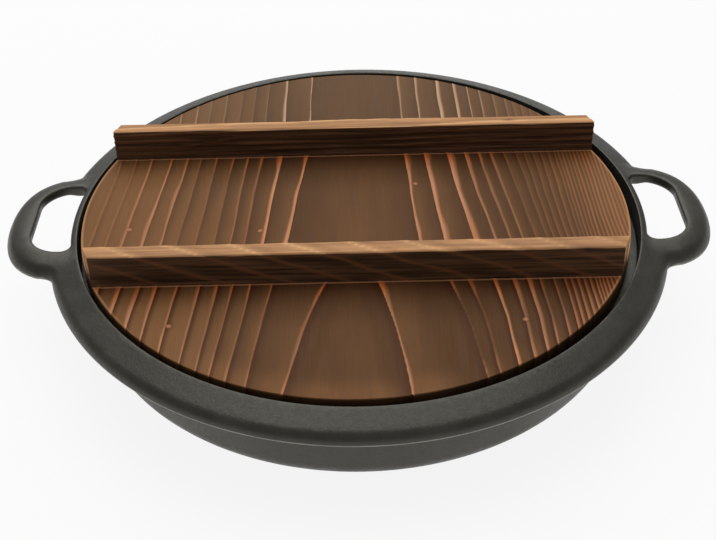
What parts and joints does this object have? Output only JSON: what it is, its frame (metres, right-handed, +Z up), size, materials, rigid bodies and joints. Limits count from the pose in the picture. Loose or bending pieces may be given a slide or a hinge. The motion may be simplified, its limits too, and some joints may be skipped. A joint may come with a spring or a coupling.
{
  "type": "gyoza pan",
  "caption": "Shallow round cast iron pan with a sloping brim, loop handles and a drop-in charred wooden lid carried by dovetailed battens.",
  "frame": {"origin": "middle of the pan's base, on the surface that it stands on", "axes": "+X through the right-hand handle, +Y towards the rear batten, +Z up out of the pan"},
  "size_m": [0.3098, 0.27, 0.0596],
  "materials": {
    "cast_iron": "satin, fine sand-cast grain, dark grey with a slight olive cast",
    "charred_board": "charred and brushed, raised copper-brown grain ridges",
    "batten_wood": "charred and brushed, lighter rubbed top edges"
  },
  "bodies": {
    "pan": {"pan_casting": "cast_iron"},
    "lid": {"lid_board": "charred_board", "front_batten": "batten_wood", "rear_batten": "batten_wood"}
  },
  "joints": [
    {"name": "lid_lift", "type": "slide", "parent": "pan", "child": "lid", "axis": [0, 0, 1], "range_m": [0, 0.12]}
  ]
}
